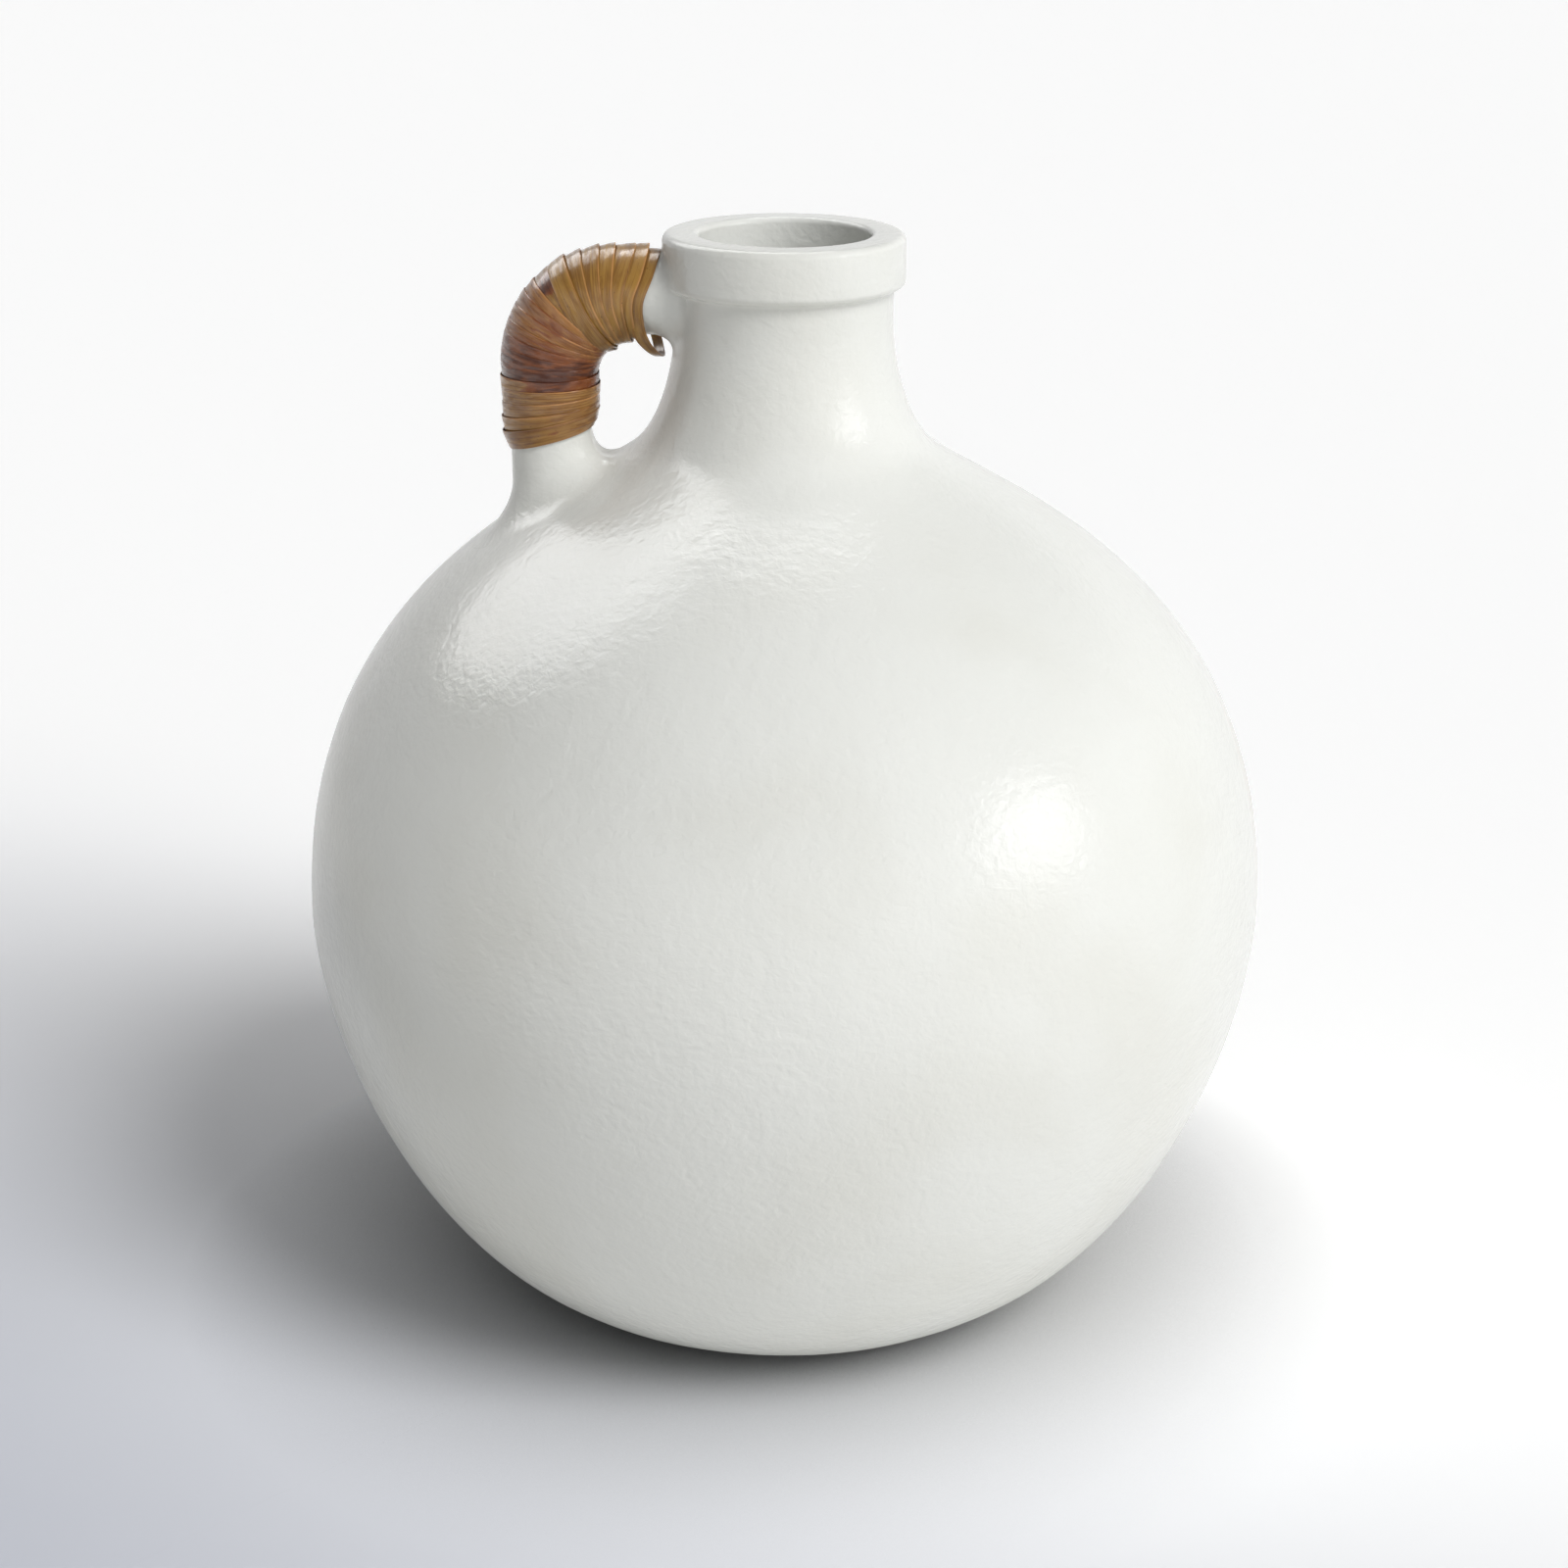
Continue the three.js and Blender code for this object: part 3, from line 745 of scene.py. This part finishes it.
def cane_finish(name, pale, deep, stained):
    """Varnished cane of its own colours."""
    material = bpy.data.materials.new(name)
    material.use_nodes = True
    sheet = material.node_tree
    surface = sheet.nodes["Principled BSDF"]
    cane_skin = add_node(sheet, "ShaderNodeGroup", (-600, 0), node_tree=skin)
    grain = add_node(sheet, "ShaderNodeUVMap", (-900, 100), uv_map="grain")
    feed(sheet, cane_skin.inputs["Grain"], grain.outputs["UV"])
    stain = add_node(sheet, "ShaderNodeAttribute", (-900, -100), attribute_name="stain")
    feed(sheet, cane_skin.inputs["Stain"], stain.outputs["Fac"])
    feed(sheet, cane_skin.inputs["Pale"], pale)
    feed(sheet, cane_skin.inputs["Deep"], deep)
    feed(sheet, cane_skin.inputs["Stained"], stained)
    feed(sheet, surface.inputs["Base Color"], cane_skin.outputs["Colour"])
    feed(sheet, surface.inputs["Roughness"], cane_skin.outputs["Roughness"])
    fibres = add_node(sheet, "ShaderNodeBump", (-300, -300))
    fibres.inputs["Distance"].default_value = FIBRE_RELIEF
    feed(sheet, fibres.inputs["Height"], cane_skin.outputs["Height"])
    feed(sheet, surface.inputs["Normal"], fibres.outputs["Normal"])
    feed(sheet, surface.inputs["Coat Weight"], cane_skin.outputs["Varnish"])
    surface.inputs["Coat Roughness"].default_value = VARNISH_ROUGHNESS
    surface.inputs["Coat IOR"].default_value = VARNISH_IOR
    surface.inputs["Specular IOR Level"].default_value = CANE_SHINE
    return material


honey = cane_finish(
    "honey_varnish",
    pale=(0.39, 0.205, 0.058, 1),
    deep=(0.20, 0.085, 0.023, 1),
    stained=(0.075, 0.020, 0.008, 1),
)
dark = cane_finish(
    "dark_varnish",
    pale=(0.375, 0.170, 0.046, 1),
    deep=(0.19, 0.066, 0.019, 1),
    stained=(0.075, 0.020, 0.008, 1),
)
golden = cane_finish(
    "golden_varnish",
    pale=(0.38, 0.205, 0.045, 1),
    deep=(0.22, 0.102, 0.024, 1),
    stained=(0.075, 0.022, 0.009, 1),
)

# Turn, and how stained the cane is there; the upper length has a dark knot near its start.
LOWER_STAINS = ((0, 0.15), (3, 0), (4.06, 0.05), (4.22, 0.7), (5, 0.8))
MIDDLE_STAINS = ((5, 0.8), (6.7, 0.75), (8, 0.4), (11, 0.3), (12, 0.2))
UPPER_STAINS = (
    (12, 0.25),
    (12.04, 0.25),
    (12.08, 0.8),
    (12.11, 0.8),
    (12.15, 0.25),
    (13, 0.1),
    (20, 0),
)

cane_lower = wind_cane("cane_lower", LOWER_TURNS, LOWER_STAINS)
cane_lower.data.materials.append(honey)
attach(cane_lower, "root")
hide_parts("cane_strip_lower")

cane_middle = wind_cane("cane_middle", MIDDLE_TURNS, MIDDLE_STAINS)
cane_middle.data.materials.append(dark)
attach(cane_middle, "root")
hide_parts("cane_strip_middle")

cane_upper = wind_cane("cane_upper", UPPER_TURNS, UPPER_STAINS)
cane_upper.data.materials.append(golden)
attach(cane_upper, "root")
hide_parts("cane_strip_upper")

# Floor
# A wide sheet of white studio paper under the vase. A painted cool grey shade darkens it at the near
# left of the vase, and a painted contact shade darkens it where the belly overhangs it.

FLOOR_SIZE = 30
PAPER = (0.95, 0.95, 0.95, 1)
PAPER_SEEN = (1.235, 1.235, 1.235, 1)
# Painted shade: the cool grey that the seen paper turns to at the near left
PAINTED_SHADE_NEAR_LEFT = (0.60, 0.625, 0.70, 1)
# Painted shade: the black that the seen paper is mixed towards under the overhang
PAINTED_OVERHANG_SHADE = (0, 0, 0, 1)
NEAR_LEFT = (-0.70, -0.714, 0)
# The painted cool shade grows over these distances to the near left, and fades out over these
# from the vase.
SHADE_GROWS = (-0.21, 0.40)
SHADE_FADES = (0.40, 0.80)
# The painted contact shade of the overhang darkens the paper this far off, and less on the
# camera's side, which is more open.
OVERHANG_REACH = 0.09
OVERHANG_SAMPLES = 8
OPEN_SIDE = {"X": 0.05, "Y": -0.50, "Z": 0.90}


def seen_rays(sheet):
    """1 for the rays that see the white studio: from the camera, from gloss and through glass."""
    ray = add_node(sheet, "ShaderNodeLightPath", (-1400, 400)).outputs
    seen = add_math(sheet, (-1200, 400), "ADD", ray["Is Camera Ray"], ray["Is Glossy Ray"])
    return add_math(sheet, (-1000, 400), "ADD", seen, ray["Is Transmission Ray"])


bpy.ops.object.select_all(action="DESELECT")
bpy.ops.mesh.primitive_plane_add(size=FLOOR_SIZE)
floor = bpy.context.object
floor.name = "studio_paper"
paper = bpy.data.materials.new("studio_paper")
paper.use_nodes = True
sheet = paper.node_tree
sheet.nodes.remove(sheet.nodes["Principled BSDF"])
matt = add_node(sheet, "ShaderNodeBsdfDiffuse", (-200, 0))
feed(sheet, sheet.nodes["Material Output"].inputs["Surface"], matt.outputs["BSDF"])
floor_place = add_node(sheet, "ShaderNodeTexCoord", (-1400, -100)).outputs["Object"]
to_near_left = add_node(sheet, "ShaderNodeVectorMath", (-1200, -100), operation="DOT_PRODUCT")
to_near_left.inputs[1].default_value = NEAR_LEFT
feed(sheet, to_near_left.inputs[0], floor_place)
shade = add_range(sheet, (-1000, -100), to_near_left.outputs["Value"], *SHADE_GROWS)
from_vase = add_node(sheet, "ShaderNodeVectorMath", (-1200, 100), operation="LENGTH")
feed(sheet, from_vase.inputs[0], floor_place)
nearby = add_range(sheet, (-1000, 100), from_vase.outputs["Value"], *SHADE_FADES, 1, 0)
shade = add_math(sheet, (-900, 0), "MULTIPLY", shade, nearby)
# Painted shade: the seen paper turns a cool grey towards the near left, fading out away from the
# vase.
paper_seen = add_mix(sheet, (-800, -100), shade, PAPER_SEEN, PAINTED_SHADE_NEAR_LEFT)
open_side = add_node(sheet, "ShaderNodeCombineXYZ", (-1000, -350))
for axis, value in OPEN_SIDE.items():
    open_side.inputs[axis].default_value = value
# Painted contact shade: ambient occlusion from the overhanging belly mixes the seen paper towards
# black.
overhang = add_node(sheet, "ShaderNodeAmbientOcclusion", (-800, -350), samples=OVERHANG_SAMPLES)
overhang.inputs["Distance"].default_value = OVERHANG_REACH
feed(sheet, overhang.inputs["Normal"], open_side.outputs["Vector"])
paper_shaded = add_mix(sheet, (-500, -100), overhang.outputs["AO"], PAINTED_OVERHANG_SHADE, paper_seen)
paper_colour = add_mix(sheet, (-350, 0), seen_rays(sheet), PAPER, paper_shaded)
feed(sheet, matt.inputs["Color"], paper_colour)
floor.data.materials.append(paper)

# Light
# Far lamps all round the vase. The round one on the right shows in the glaze, and most softboxes
# only light the vase. The one behind on the left and the one behind above show only as reflections.

LAMP_DISTANCE = 2


def add_lamp(name, azimuth, elevation, breadth, strength):
    """A far round lamp of some degrees across; azimuth 0 is the camera's side, 90 is +X."""
    turn = math.radians(azimuth)
    lift = math.radians(elevation)
    outwards = Vector((math.sin(turn), -math.cos(turn), 0))
    away = math.cos(lift) * outwards + math.sin(lift) * UP
    bpy.ops.object.light_add(type="SUN", location=LAMP_DISTANCE * away)
    lamp = bpy.context.object
    lamp.name = name
    lamp.rotation_euler = away.to_track_quat("Z", "Y").to_euler()
    lamp.data.angle = math.radians(breadth)
    lamp.data.energy = math.pi * strength
    return lamp


add_lamp("round_lamp", 66, 22, 24, 0.145)
add_lamp("key_softbox", 45, 45, 26, 0.49).visible_glossy = False
add_lamp("low_softbox", 45, 15, 40, 0.14).visible_glossy = False
add_lamp("right_softbox", 90, 42, 50, 0.09).visible_glossy = False
add_lamp("front_softbox", 10, 68, 60, 0.19).visible_glossy = False
add_lamp("left_softbox", -45, 30, 50, 0.03).visible_glossy = False
add_lamp("back_softbox", 175, 25, 60, 0.08).visible_glossy = False
add_lamp("shoulder_softbox", -134, 44, 44, 0.55).visible_diffuse = False
add_lamp("top_softbox", 180, 61, 28, 0.28).visible_diffuse = False

# The room is white at the level of the eye and darker above, and gives little light itself.
ROOM_WALL = (1, 1, 1, 1)
ROOM_CEILING = (0.10, 0.10, 0.10, 1)
ROOM_LIGHT = (0.05, 0.05, 0.05, 1)
CEILING_RISES = (0.25, 0.65)
room = bpy.data.worlds.new("pale_room")
bpy.context.scene.world = room
room.use_nodes = True
sheet = room.node_tree
direction = add_node(sheet, "ShaderNodeTexCoord", (-1000, -100)).outputs["Generated"]
upwards = add_node(sheet, "ShaderNodeSeparateXYZ", (-800, -100))
feed(sheet, upwards.inputs["Vector"], direction)
ceiling = add_range(sheet, (-600, -100), upwards.outputs["Z"], *CEILING_RISES)
room_seen = add_mix(sheet, (-400, -100), ceiling, ROOM_WALL, ROOM_CEILING)
room_colour = add_mix(sheet, (-200, 0), seen_rays(sheet), ROOM_LIGHT, room_seen)
feed(sheet, sheet.nodes["Background"].inputs["Color"], room_colour)

# Camera
# About 1 m from the vase and a little above it, looking 20 degrees down.

camera_data = bpy.data.cameras.new("camera")
camera_data.lens = 68.47
camera_data.sensor_width = 36
camera_data.clip_end = 100
camera = bpy.data.objects.new("camera", camera_data)
camera.location = (-0.0002, -0.8879, 0.4886)
camera.rotation_euler = (math.radians(70), 0, 0)
bpy.context.collection.objects.link(camera)
bpy.context.scene.camera = camera
bpy.context.scene.view_settings.view_transform = "Standard"
